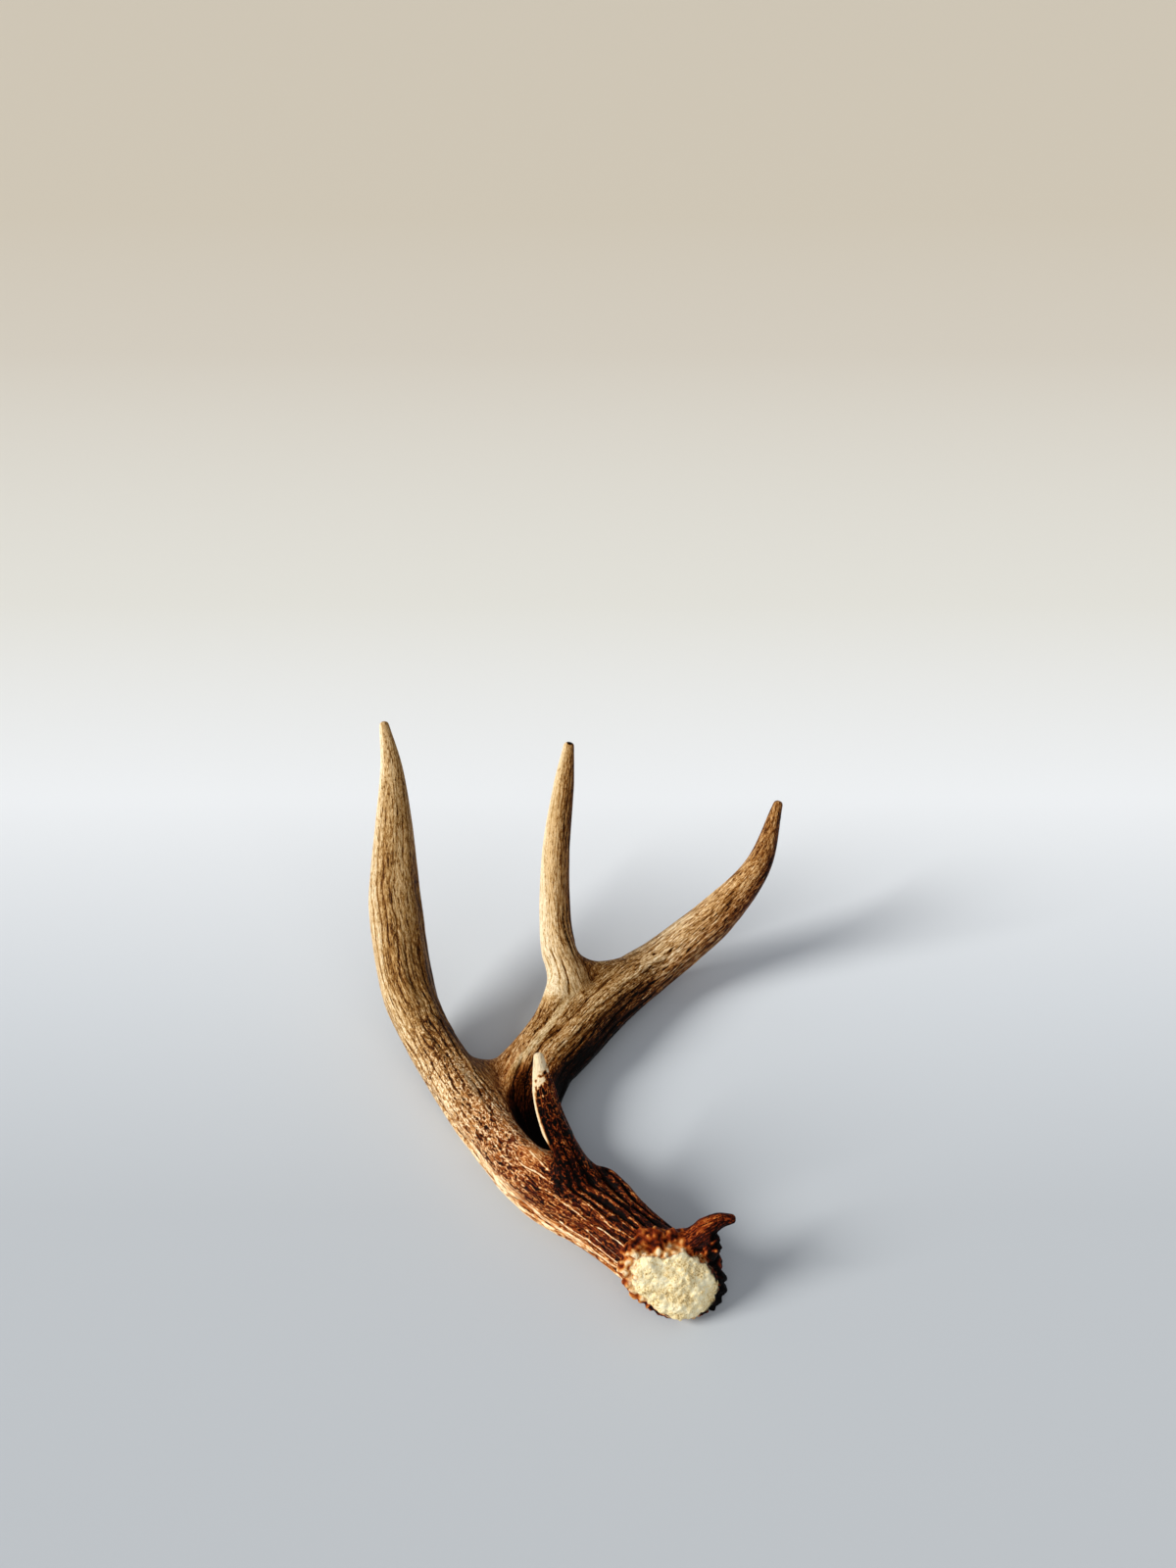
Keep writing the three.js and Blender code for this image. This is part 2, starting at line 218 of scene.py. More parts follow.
def grains(points, seed):
    """Distance to the nearest of many scattered points, about one to a unit cell."""
    cell = np.floor(points).astype(np.int64)
    nearest = np.full(len(points), np.inf)
    for shift in np.ndindex(3, 3, 3):
        near = cell + shift - 1
        slot = lattice_slot(near, seed)
        place = near + np.stack([LATTICE[slot], LATTICE[slot - 1], LATTICE[slot - 2]], axis=1)
        nearest = np.minimum(nearest, np.linalg.norm(place - points, axis=1))
    return nearest


SAME_POINT = 1e-4


def spline(points, steps=24):
    """A centripetal Catmull-Rom spline through the rows of points, steps to a span."""
    rows = np.vstack([2 * points[0] - points[1], points, 2 * points[-1] - points[-2]])
    u = (np.arange(steps) / steps)[:, None]
    spans = []
    for p0, p1, p2, p3 in zip(rows, rows[1:], rows[2:], rows[3:]):
        d0, d1, d2 = (math.sqrt(np.linalg.norm(b - a)) for a, b in ((p0, p1), (p1, p2), (p2, p3)))
        d1 = d1 if d1 > SAME_POINT else 1.0
        d0 = d0 if d0 > SAME_POINT else d1
        d2 = d2 if d2 > SAME_POINT else d1
        out = d1 * ((p1 - p0) / d0 - (p2 - p0) / (d0 + d1) + (p2 - p1) / d1)
        into = d1 * ((p2 - p1) / d1 - (p3 - p1) / (d1 + d2) + (p3 - p2) / d2)
        bend = 3 * (p2 - p1) - 2 * out - into
        twist = 2 * (p1 - p2) + out + into
        spans.append(p1 + out * u + bend * u ** 2 + twist * u ** 3)
    return np.vstack(spans + [points[-1:]])


# Points are located in blocks, so that the table of their distances stays small.
LOCATE_BLOCKS = 12


class Branch:
    """A route with its frame at each sample: along it, level to the side, and across both."""

    def __init__(self, route, ridges=None):
        table = np.array(route, float)
        self.centre = spline(table[:, :3] - ORIGIN)
        self.half, self.thick = spline(table[:, 3:]).T
        self.along = unit(np.gradient(self.centre, axis=0))
        self.side = unit(np.cross(self.along, UP))
        self.across = np.cross(self.side, self.along)
        steps = np.linalg.norm(np.diff(self.centre, axis=0), axis=1)
        self.distance = np.concatenate([[0.0], np.cumsum(steps)])
        self.length = self.distance[-1]
        self.ridges = ridges

    def ridge_height(self, angle, row):
        """How far the ridges lift the skin at each angle round one row."""
        if self.ridges is None:
            return 0.0
        count, root, tip, wave = self.ridges
        distance = self.distance[row]
        height = root + (tip - root) * distance / self.length
        drift = 0.7 * math.sin(distance / wave) + 0.4 * math.sin(distance / wave * 2.3)
        main = np.cos(count * angle + 2 * drift)
        small = np.cos((count + 4) * angle - 3 * drift)
        return height * (0.7 * main + 0.3 * small)

    def tube(self, sides=56, tip_rounding=0.7, tip_rows=6):
        """Points and faces of the branch's closed skin: flat at its root, round at its tip."""
        angle = np.arange(sides) / sides * 2 * math.pi
        rows = []
        for row in range(len(self.centre)):
            lift = self.ridge_height(angle, row)
            sideways = np.outer(np.cos(angle) * (self.half[row] + lift), self.side[row])
            upright = np.outer(np.sin(angle) * (self.thick[row] + lift), self.across[row])
            rows.append(self.centre[row] + sideways + upright)
        last = rows[-1] - self.centre[-1]
        for turn in np.linspace(0, math.pi / 2, tip_rows + 1)[1:-1]:
            step = self.along[-1] * tip_rounding * self.half[-1] * math.sin(turn)
            rows.append(self.centre[-1] + step + last * math.cos(turn))
        tip = self.centre[-1] + self.along[-1] * tip_rounding * self.half[-1]
        points = np.vstack(rows + [self.centre[:1], tip[None]])
        root_point, tip_point = len(points) - 2, len(points) - 1
        faces = []
        for row in range(len(rows) - 1):
            for column in range(sides):
                after = (column + 1) % sides
                near, far = row * sides, (row + 1) * sides
                faces.append((near + column, near + after, far + after, far + column))
        final = (len(rows) - 1) * sides
        for column in range(sides):
            after = (column + 1) % sides
            faces.append((root_point, after, column))
            faces.append((tip_point, final + column, final + after))
        return points, faces

    def locate(self, points):
        """For each point: distance along, sideways and across, and its gap to the tube's skin."""
        blocks = np.array_split(points, LOCATE_BLOCKS)
        index = np.concatenate([self._nearest(block) for block in blocks])
        offset = points - self.centre[index]
        forward = (offset * self.along[index]).sum(axis=1)
        sideways = (offset * self.side[index]).sum(axis=1)
        upright = (offset * self.across[index]).sum(axis=1)
        half, thick = self.half[index], self.thick[index]
        ratio = np.hypot(sideways / half, upright / thick)
        at_end = (index == 0) | (index == len(self.centre) - 1)
        beyond = np.where(at_end, np.abs(forward), 0)
        gap = (ratio - 1) * (half + thick) / 2 + beyond
        angle = np.arctan2(upright / thick, sideways / half)
        grain = np.stack([self.distance[index] + forward, sideways, upright], axis=1)
        return Place(grain, angle, sideways / half, gap, self.length)

    def _nearest(self, points):
        """The number of the route's sample that is nearest to each point."""
        cross = points @ self.centre.T
        return np.argmin((self.centre ** 2).sum(axis=1) - 2 * cross, axis=1)


class Place:
    """Where points lie in a branch's own straightened coordinates.

    grain holds millimetres along, sideways and across. share runs from 0 at the root to 1 at the
    tip, lean from -1 to 1 across the branch, and gap is the distance to the tube's skin.
    """

    def __init__(self, grain, angle, lean, gap, length):
        self.grain = grain
        self.distance = grain[:, 0]
        self.share = np.clip(self.distance / length, 0, 1)
        self.angle = angle
        self.lean = np.clip(lean, -1, 1)
        self.gap = gap

    def streaks(self, length, width, seed):
        """Noise whose lumps are drawn out along the grain."""
        return noise(self.grain / (length, width, width), seed)

    def waves(self, count, wander, seed):
        """Two waves round the branch: one is nought along its furrows, the other on its ridges."""
        drift = self.streaks(26, 8, seed) + 0.6 * self.streaks(9, 4, seed + 1) - 0.8
        phase = count / 2 * self.angle + wander * drift + self.distance / 70
        return np.sin(phase), np.cos(phase)


# ---- The skin: tubes and lumps melted together


def seal_frame():
    """Columns of the seal's frame: along its long axis, across it, and outward."""
    outward = np.array([
        math.sin(SEAL_TURN) * math.cos(SEAL_TILT),
        -math.cos(SEAL_TURN) * math.cos(SEAL_TILT),
        math.sin(SEAL_TILT),
    ])
    level = unit(np.cross(UP, outward))
    flank = np.cross(outward, level)
    longways = level * math.cos(SEAL_ROLL) + flank * math.sin(SEAL_ROLL)
    return np.stack([longways, np.cross(outward, longways), outward], axis=1)


SEAL_FRAME = seal_frame()
SEAL_MIDDLE = SEAL_CENTRE - ORIGIN


def from_seal(points):
    """Points of the seal's frame in the part's frame."""
    return points @ SEAL_FRAME.T + SEAL_MIDDLE


def to_seal(points):
    """Points of the part's frame in the seal's frame."""
    return (points - SEAL_MIDDLE) @ SEAL_FRAME


def linked(name, data):
    """A new object in the scene."""
    made = bpy.data.objects.new(name, data)
    bpy.context.scene.collection.objects.link(made)
    return made


def lump(build):
    """Points and faces of a bmesh that build fills."""
    work = bmesh.new()
    build(work)
    points = np.array([v.co[:] for v in work.verts])
    faces = [tuple(v.index for v in f.verts) for f in work.faces]
    work.free()
    return points, faces


def ball(size, middle, detail=3):
    """A ball or, with three sizes, an egg."""
    points, faces = lump(lambda w: bmesh.ops.create_icosphere(w, subdivisions=detail, radius=1))
    return points * size + middle, faces


def burr_parts():
    """The seal's dome, the cone behind it, the ring round it and the pearls, as points and faces."""
    parts = [ball((SEAL_HALF_LENGTH, SEAL_HALF_WIDTH, SEAL_DOME), (0, 0, 0), detail=4)]
    cone_points, cone_faces = lump(lambda w: bmesh.ops.create_cone(
        w, cap_ends=True, segments=64, radius1=BURR_NARROWING, radius2=1, depth=1))
    cone_points = (cone_points - (0, 0, 0.5)) * (SEAL_HALF_LENGTH - 1, SEAL_HALF_WIDTH - 1, BURR_DEPTH)
    parts.append((cone_points, cone_faces))
    shift_along, shift_across = BURR_SHIFT
    for index in range(RING_LUMPS):
        angle = index / RING_LUMPS * 2 * math.pi
        middle = (
            SEAL_HALF_LENGTH * math.cos(angle) + shift_along,
            SEAL_HALF_WIDTH * math.sin(angle) + shift_across,
            -BURR_SET_BACK,
        )
        parts.append(ball(RING_LUMP_RADIUS, middle, detail=2))
    smallest, largest = PEARL_RADIUS
    for index in range(PEARLS):
        angle = (index + PEARL_UNEVENNESS * math.sin(index * 5.1)) / PEARLS * 2 * math.pi
        grown = 1 - PEARL_SHRINKING * max(0, math.cos(angle - PEARL_SMALLEST_AT)) ** 2
        radius = grown * (smallest + (largest - smallest) * (0.5 + 0.5 * math.sin(index * 2.7)))
        middle = (
            (SEAL_HALF_LENGTH + PEARL_STAND * grown) * math.cos(angle) + shift_along,
            (SEAL_HALF_WIDTH + PEARL_STAND * grown) * math.sin(angle) + shift_across,
            -BURR_SET_BACK + PEARL_SWING * math.sin(index * 3.9),
        )
        parts.append(ball(radius, middle))
    placed = [(from_seal(points), faces) for points, faces in parts]
    return placed + [ball(radius, np.array(place) - ORIGIN) for *place, radius in SPUR_PEARLS]


def melted(parts, voxel):
    """One skin round many closed parts: its points, edges and triangles."""
    start, points, faces = 0, [], []
    for part_points, part_faces in parts:
        points.append(part_points)
        faces.extend(tuple(start + i for i in face) for face in part_faces)
        start += len(part_points)
    mesh = bpy.data.meshes.new("parts")
    mesh.from_pydata(np.vstack(points).tolist(), [], faces)
    holder = linked("parts", mesh)
    remesh = holder.modifiers.new("voxels", "REMESH")
    remesh.mode = "VOXEL"
    remesh.voxel_size = voxel
    depsgraph = bpy.context.evaluated_depsgraph_get()
    skin = holder.evaluated_get(depsgraph).to_mesh()
    skin.calc_loop_triangles()
    count = len(skin.vertices)
    out_points = np.empty(count * 3)
    skin.vertices.foreach_get("co", out_points)
    edges = np.empty(len(skin.edges) * 2, np.int64)
    skin.edges.foreach_get("vertices", edges)
    triangles = np.empty(len(skin.loop_triangles) * 3, np.int64)
    skin.loop_triangles.foreach_get("vertices", triangles)
    bpy.data.objects.remove(holder)
    bpy.data.meshes.remove(mesh)
    return out_points.reshape(-1, 3), edges.reshape(-1, 2), triangles.reshape(-1, 3)


def smoothed(points, edges, weight, rounds, rebound):
    """Points drawn by their weight to their neighbours' mean and, with a rebound, back out."""
    first, second = edges.T
    count = len(points)
    degree = np.bincount(edges.ravel(), minlength=count)[:, None]
    steps = [1.0, -rebound] if rebound else [1.0]
    for step in steps * rounds:
        near = np.stack([
            np.bincount(first, column[second], count) + np.bincount(second, column[first], count)
            for column in points.T
        ], axis=1)
        points = points + step * weight[:, None] * (near / degree - points)
    return points


def vertex_normals(points, triangles):
    """The unit normal at each point, the mean of its triangles' by their area."""
    corner = points[triangles]
    area = np.cross(corner[:, 1] - corner[:, 0], corner[:, 2] - corner[:, 0])
    total = np.stack([
        np.bincount(triangles.ravel(), np.repeat(column, 3), len(points)) for column in area.T
    ], axis=1)
    return unit(total)


def in_hollow(points):
    """Points in the hollow's own frame, where its egg is the unit ball."""
    offset = points - (HOLLOW_CENTRE - ORIGIN)
    cos, sin = math.cos(HOLLOW_TURN), math.sin(HOLLOW_TURN)
    turned = np.stack([
        offset[:, 0] * cos + offset[:, 1] * sin,
        offset[:, 1] * cos - offset[:, 0] * sin,
        offset[:, 2],
    ], axis=1)
    return turned / HOLLOW_HALF_SIZE


def press_hollow(points):
    """Points of the top side that lie in the egg go down to its lower skin."""
    local = in_hollow(points)
    plan = np.hypot(local[:, 0], local[:, 1])
    floor = -np.sqrt(np.clip(1 - plan ** 2, 0, 1))
    inside = (plan < 1) & (local[:, 2] > floor)
    pressed = points.copy()
    pressed[inside, 2] = HOLLOW_CENTRE[2] + floor[inside] * HOLLOW_HALF_SIZE[2]
    return pressed


# The lower beam and the second tine grow as one stem.
STEM = Branch(STEM_ROUTE, STEM_RIDGES)
BEAM = Branch(BEAM_ROUTE, BEAM_RIDGES)
THIRD = Branch(THIRD_ROUTE, TINE_RIDGES)
BROW = Branch(BROW_ROUTE, TINE_RIDGES)
SPUR = Branch(SPUR_ROUTE)
RIM = Branch(RIM_ROUTE)
KEEL = Branch(KEEL_ROUTE)
COVER = Branch(COVER_ROUTE)
WEB = Branch(WEB_ROUTE)
FIRST_SADDLE = Branch(FIRST_SADDLE_ROUTE)
SECOND_SADDLE = Branch(SECOND_SADDLE_ROUTE)
SADDLES = [FIRST_SADDLE, SECOND_SADDLE]
FILLERS = [KEEL, COVER, WEB] + SADDLES

# Grid sizes of the two melts, and the sides of a thin tube.
CORE_VOXEL = 1.1
SKIN_VOXEL = 0.7
THIN_SIDES = 32


def grow_skin():
    """The antler's whole skin: a core, the hollow pressed into it, then all that stands on it."""
    core_points, _, core_triangles = melted(
        [STEM.tube(), BEAM.tube(), Branch(PALM_ROUTE).tube(), COVER.tube()], CORE_VOXEL)
    core = press_hollow(core_points), [tuple(t) for t in core_triangles.tolist()]
    thin = [THIRD, BROW, SPUR, RIM, KEEL, WEB] + SADDLES
    tubes = [branch.tube(sides=THIN_SIDES) for branch in thin]
    return melted([core] + tubes + burr_parts(), SKIN_VOXEL)


# ---- Fields over the skin: which branch each point belongs to, and how it is shaped and stained


# How softly one branch's grain passes into another's at a fork, in millimetres.
BLEND_WIDTH = 3.0

# A branch's root is buried in another, whose grain shows there: how far its gap is raised at its
# root, and the distances along it between which that fades.
BEAM_BURIED = (14, 8, 40)
THIRD_BURIED = (8, 6, 24)
BROW_BURIED = (8, 8, 24)

# The seal's colour runs past its dome at the upper left end, by twice this.
SEAL_OVERRUN = 0.7


def ripple(points, size, seed):
    """Smooth noise about nought, with lumps of this size in millimetres."""
    return noise(points / size, seed) - 0.5


class Fields:
    """Where every point of the skin lies on each branch, and how much it belongs to each."""

    def __init__(self, points):
        self.stem = STEM.locate(points)
        self.beam = BEAM.locate(points)
        self.third = THIRD.locate(points)
        self.brow = BROW.locate(points)
        self.spur = SPUR.locate(points)
        self.rim = RIM.locate(points)
        buried = ((self.beam, BEAM_BURIED), (self.third, THIRD_BURIED), (self.brow, BROW_BURIED))
        for place, (lift, start, end) in buried:
            place.gap = place.gap + lift * (1 - smoothstep(start, end, place.distance))
        self.places = [self.stem, self.beam, self.third, self.brow, self.spur]
        gaps = np.stack([place.gap for place in self.places], axis=1)
        soft = np.exp(-(gaps - gaps.min(axis=1, keepdims=True)) / BLEND_WIDTH)
        self.weights = soft / soft.sum(axis=1, keepdims=True)
        self._find_forks(points, np.sort(gaps, axis=1)[:, 1])
        self._find_seal(points)
        local = in_hollow(points)
        self.hollow = 1 - smoothstep(0.95, 1.3, np.linalg.norm(local, axis=1))
        self.hollow *= 1 - smoothstep(29, 33, points[:, 2])
        # The hollow is painted dark as the shade under its rim, darkest towards the burr.
        self.hollow_shade = self.hollow * (1 - 0.62 * smoothstep(-0.25, 0.75, local[:, 1]))

    def _find_forks(self, points, second_gap):
        """The forks lie where a second branch is near, and on the lumps that fill them."""
        self.fork = 1 - smoothstep(8, 16, second_gap)
        self.saddle = np.zeros(len(points))
        for filler in FILLERS:
            gap = filler.locate(points).gap
            self.fork = np.maximum(self.fork, 1 - smoothstep(2, 6, gap))
            if filler in SADDLES:
                self.saddle = np.maximum(self.saddle, 1 - smoothstep(0, 4, gap))

    def _find_seal(self, points):
        """The seal within its ragged outline, the crust next to it, and the burr behind both."""
        long, wide, deep = to_seal(points).T
        oval = np.hypot((long + SEAL_OVERRUN) / (SEAL_HALF_LENGTH + SEAL_OVERRUN), wide / SEAL_HALF_WIDTH)
        around = np.arctan2(wide / SEAL_HALF_WIDTH, long / SEAL_HALF_LENGTH)
        oval *= 1 + SEAL_NOTCH_DEPTH * bell(around, SEAL_NOTCH_AT, SEAL_NOTCH_WIDTH)
        ragged = oval + 0.22 * ripple(points, 4.5, seed=61) + 0.12 * ripple(points, 1.6, seed=62)
        self.seal = smoothstep(-4, -1.5, deep) * (1 - smoothstep(0.93, 1.0, ragged))
        self.seal_near = smoothstep(-7, -2, deep) * (1 - smoothstep(1.0, 1.35, ragged)) * (1 - self.seal)
        back = deep + 5 * ripple(points, 6, seed=63)
        self.burr = smoothstep(-10.5, -8, back) * (1 - self.seal)
        self.burr *= 1 - smoothstep(28, 32, np.hypot(long, wide))
        self.burr *= 1 - 0.8 * smoothstep(9, 14, self.spur.distance) * (self.spur.gap < 2)


# Relief of the grain in millimetres, before a branch's own depth scales it.
FURROW_DEPTH = 2.4
CREST_HEIGHT = 0.55
SWELL_HEIGHT = 1.3
ROUGH_HEIGHT = 0.55

# How far a crest's relief reaches to both sides, in the units of the wave that it follows.
CREST_REACH = 0.36


class Look:
    """Relief in millimetres and the fields that the colours follow, summed over the branches.

    The darkness field is how dark the bone is, from 0 to 1: the bone's own staining, with painted
    shade and painted highlights added in places. furrow and crest are nought along a dark furrow or a
    pale worn ridge, and their shares say how strongly it shows. mottle, streak and warmth say how
    much there is of blotches, of fine grain and of the burr's red-brown.
    """

    FIELDS = ["height", "stain", "furrow", "furrow_share", "crest", "crest_share", "mottle", "streak",
              "warmth"]

    def __init__(self, count):
        for name in self.FIELDS:
            setattr(self, name, np.zeros(count))

    def add(self, weight, place, count, wander, seed, **shares):
        """One branch's part: its furrows and ridges, and what the shares say at each point."""
        valley, ridge = place.waves(count, wander, seed)
        broken = smoothstep(0.3, 0.56, place.streaks(30, 6, seed + 2))
        kept = smoothstep(0.36, 0.6, place.streaks(22, 5, seed + 3))
        furrow_share = shares["furrows"] * broken
        crest_share = shares["crests"] * kept
        swell = place.streaks(38, 6, seed + 4) - 0.5
        rough = place.streaks(6.5, 2.2, seed + 5) - 0.5
        bands = place.streaks(60, 6, seed + 6) + 0.6 * place.streaks(40, 2.6, seed + 7) - 0.8
        valley_width = shares["furrow_width"]
        relief = -FURROW_DEPTH * furrow_share * bell(valley, 0, valley_width)
        relief += CREST_HEIGHT * crest_share * bell(ridge, 0, CREST_REACH)
        relief += SWELL_HEIGHT * swell + ROUGH_HEIGHT * rough
        self.height += weight * shares["depth"] * relief
        self.stain += weight * (shares["stain"] + shares["bands"] * bands)
        self.furrow += weight * valley / valley_width
        self.furrow_share += weight * furrow_share
        self.crest += weight * ridge / shares["crest_width"]
        self.crest_share += weight * crest_share
        self.mottle += weight * shares["mottle"]
        self.streak += weight * shares["streak"]
        self.warmth += weight * shares["warmth"]


def curve(value, *stops):
    """A curve through (value, result) stops."""
    places, results = zip(*stops)
    return np.interp(value, places, results)


def look_of(points, fields):
    """The whole skin's look: each branch's own grain, then what lies over all of them."""
    look = Look(len(points))
    stem, beam, third, brow, spur = fields.places
    weight = fields.weights.T
    root = 1 - smoothstep(95, 150, stem.distance)
    add_stem(look, weight[0], stem, root)
    add_beam(look, weight[1], beam)
    add_third(look, weight[2], third, points)
    add_brow(look, weight[3], brow, points)
    add_spur(look, weight[4], spur)
    bone = 1 - np.maximum(fields.seal, fields.burr)
    look.height *= bone * (1 - 0.6 * fields.hollow)
    look.furrow_share *= bone * (1 - 0.85 * fields.saddle)
    look.crest_share *= bone * (1 - fields.hollow)
    look.mottle *= bone * (1 - fields.hollow)
    look.streak *= bone
    stain_and_shade_zones(look, fields, points, weight[0] * root)
    crust_over(look, fields, points)
    return look


def add_stem(look, weight, stem, root):
    """The lower beam: black furrows on its upper right, partly painted shade, a mottled top, and a pale
    streaked lower left side, partly painted highlight; then its tine, painted lighter on the left and
    darker on the right.
    """
    along = stem.distance
    # Round the lower beam, near the burr, the upper right is darker with black furrows and the lower left
    # paler: partly the bone's own colour, partly painted shade and painted highlight for a light from the
    # left.
    furrowed_shaded_side = smoothstep(0.3, 0.75, np.cos(stem.angle - math.radians(62)))
    furrowed_shaded_side *= 1 - smoothstep(50, 80, along)
    pale_lit_edge = smoothstep(0.5, 0.8, np.cos(stem.angle - math.radians(224)))
    middle = (1 - pale_lit_edge) * (1 - furrowed_shaded_side)
    # On the second tine the left side is painted lighter as a highlight and the right side darker as
    # shade.
    tine_lit_edge = smoothstep(-0.3, -0.9, stem.lean)
    tine_shaded_right = smoothstep(0.1, 0.9, stem.lean)
    look.add(
        weight, stem, count=22, wander=2.6, seed=100,
        depth=curve(along, (0, 1), (95, 0.9), (140, 0.5), (230, 0.32), (380, 0.05)),
        furrows=root * (curve(along, (50, 0.25), (75, 0.08)) + 0.75 * furrowed_shaded_side + 0.45 * pale_lit_edge)
        + 0.62 * (1 - root) * (1 - stem.share ** 4),
        furrow_width=0.5 + root * (0.5 * furrowed_shaded_side - 0.1),
        crests=root * (0.35 + 0.65 * middle) * (1 - smoothstep(70, 120, along)),
        crest_width=0.24,
        stain=(
            curve(along, (0, 0.7), (50, 0.62), (90, 0.5), (140, 0.45), (175, 0.6), (215, 0.55),
                  (260, 0.44), (300, 0.41), (375, 0.34))
            + root * (0.02 * furrowed_shaded_side + 0.04 * middle - 0.34 * pale_lit_edge)
            - (1 - root) * (0.24 * tine_lit_edge - 0.12 * tine_shaded_right)
        ),
        bands=curve(along, (0, 0.12), (140, 0.14), (380, 0.16)),
        mottle=root * (1 - 0.7 * pale_lit_edge) * curve(along, (20, 0.45), (55, 0.6), (90, 0.85), (150, 0.8))
        + (1 - root) * (0.14 + 0.5 * (1 - tine_shaded_right) * (1 - smoothstep(150, 230, along))),
        streak=curve(along, (150, 0.65), (200, 0.75), (300, 0.6), (375, 0.45)) + 0.8 * pale_lit_edge * root,
        warmth=curve(along, (0, 1), (80, 0.85), (140, 0.3), (200, 0.12)),
    )


def add_beam(look, weight, beam):
    """The main beam: a smooth grey top, and dark streaks underneath that are partly painted shade, with
    more painted shade near its root.
    """
    along = beam.distance
    # The underside is darker partly from staining and partly as painted shade. Near the root a wider
    # lower side is painted dark as the shade that the brow tine and the stem cast on it.
    stained_shaded_underside = smoothstep(-0.35, 0.7, np.cos(beam.angle + math.radians(45)))
    behind = smoothstep(-0.75, 0.2, np.cos(beam.angle + math.radians(45)))
    look.add(
        weight, beam, count=20, wander=2.2, seed=200,
        depth=curve(along, (0, 0.8), (110, 0.55), (200, 0.4), (290, 0.08)),
        furrows=(0.45 + 0.5 * stained_shaded_underside) * curve(along, (140, 1), (210, 0.45)),
        furrow_width=0.44 + 0.1 * stained_shaded_underside,
        crests=0.3 * stained_shaded_underside,
        crest_width=0.16,
        stain=(
            curve(along, (0, 0.8), (60, 0.6), (90, 0.46), (180, 0.46), (220, 0.43), (290, 0.62))
            # Towards the end the lower side is painted darker and the top lighter, as painted shade and
            # highlight.
            + 0.12 * np.cos(beam.angle + math.radians(75)) * smoothstep(160, 200, along)
            + 0.56 * stained_shaded_underside * (1 - smoothstep(120, 220, along)) + 0.14 * stained_shaded_underside
            + 0.26 * behind * (1 - smoothstep(70, 135, along))
        ),
        bands=curve(along, (150, 0.16), (210, 0.26)),
        mottle=curve(along, (140, 0.3), (190, 0.18)),
        streak=curve(along, (150, 0.8), (200, 1.25), (290, 0.7)) + 0.4 * stained_shaded_underside,
        warmth=(
            curve(along, (0, 0.95), (60, 0.7), (100, 0.22), (150, 0.18), (290, 0.3)) + 0.25 * stained_shaded_underside
        ),
    )


def add_third(look, weight, third, points):
    """The third tine: pale, painted lighter on its left and darker on its right as highlight and shade,
    with a small dark spot at its tip painted as the shade of a hole.
    """
    pit_shade_middle = THIRD.centre[-1] + 2.2 * THIRD.along[-1] + TIP_PIT_SHADE
    from_pit_shade = np.linalg.norm(points - pit_shade_middle, axis=1)
    look.add(
        weight, third, count=16, wander=1.8, seed=300,
        depth=0.3 * (1 - 0.8 * third.share),
        furrows=np.clip(0.85 + 0.5 * third.lean, 0, 1) * (1 - third.share ** 3),
        furrow_width=0.46,
        crests=0.1,
        crest_width=0.12,
        # Lighter on the left and darker on the right: painted highlight and painted shade. The dark spot
        # at the tip is the painted shade of a small hole.
        stain=0.35 + 0.28 * third.lean + 0.06 * third.share + 0.8 * (1 - smoothstep(1.2, 2.0, from_pit_shade)),
        bands=0.14,
        mottle=0.1,
        streak=(0.7 + 0.35 * third.lean) * (1 - 0.3 * third.share),
        warmth=0.16 + 0.12 * third.lean,
    )


def add_brow(look, weight, brow, points):
    """The brow tine: dark, with a ragged cream tip and a pale left side that is partly the bone's own
    colour and partly a painted highlight.
    """
    ragged = 0.16 * ripple(points, 2.4, seed=79) + 0.14 * ripple(points, 0.9, seed=80)
    # The pale left side is partly the bone's own colour and partly a painted highlight from a light on
    # the left; the ragged tip is the bone's own pale colour.
    ivory_tip_and_lit_edge = np.maximum(
        smoothstep(-0.84, -0.97, brow.lean) * smoothstep(0.3, 0.55, brow.share),
        smoothstep(0.8, 0.88, brow.share - 0.07 * brow.lean + ragged * (brow.lean > -0.8)),
    )
    look.add(
        weight, brow, count=12, wander=2.0, seed=400,
        depth=0.6 * (1 - 0.7 * brow.share),
        furrows=0.7 * (1 - ivory_tip_and_lit_edge),
        furrow_width=0.4,
        crests=0.1,
        crest_width=0.16,
        stain=0.98 - 0.16 * smoothstep(0.5, 0.9, brow.share) * (1 - ivory_tip_and_lit_edge) - 0.88 * ivory_tip_and_lit_edge,
        bands=0.16 * (1 - ivory_tip_and_lit_edge),
        mottle=0.75 * (1 - ivory_tip_and_lit_edge),
        streak=0.3 * (1 - ivory_tip_and_lit_edge),
        warmth=1 - 0.8 * ivory_tip_and_lit_edge,
    )


def add_spur(look, weight, spur):
    """The spur: as dark as the burr, and painted lighter on top as a highlight."""
    look.add(
        weight, spur, count=8, wander=1.5, seed=500,
        depth=0.4,
        furrows=0.5,
        furrow_width=0.3,
        crests=0.2,
        crest_width=0.16,
        # Lighter on top: a painted highlight where the light falls on the spur.
        stain=0.88 - 0.24 * np.sin(spur.angle),
        bands=0.2,
        mottle=0.35,
        streak=0.4,
        warmth=1.0,
    )


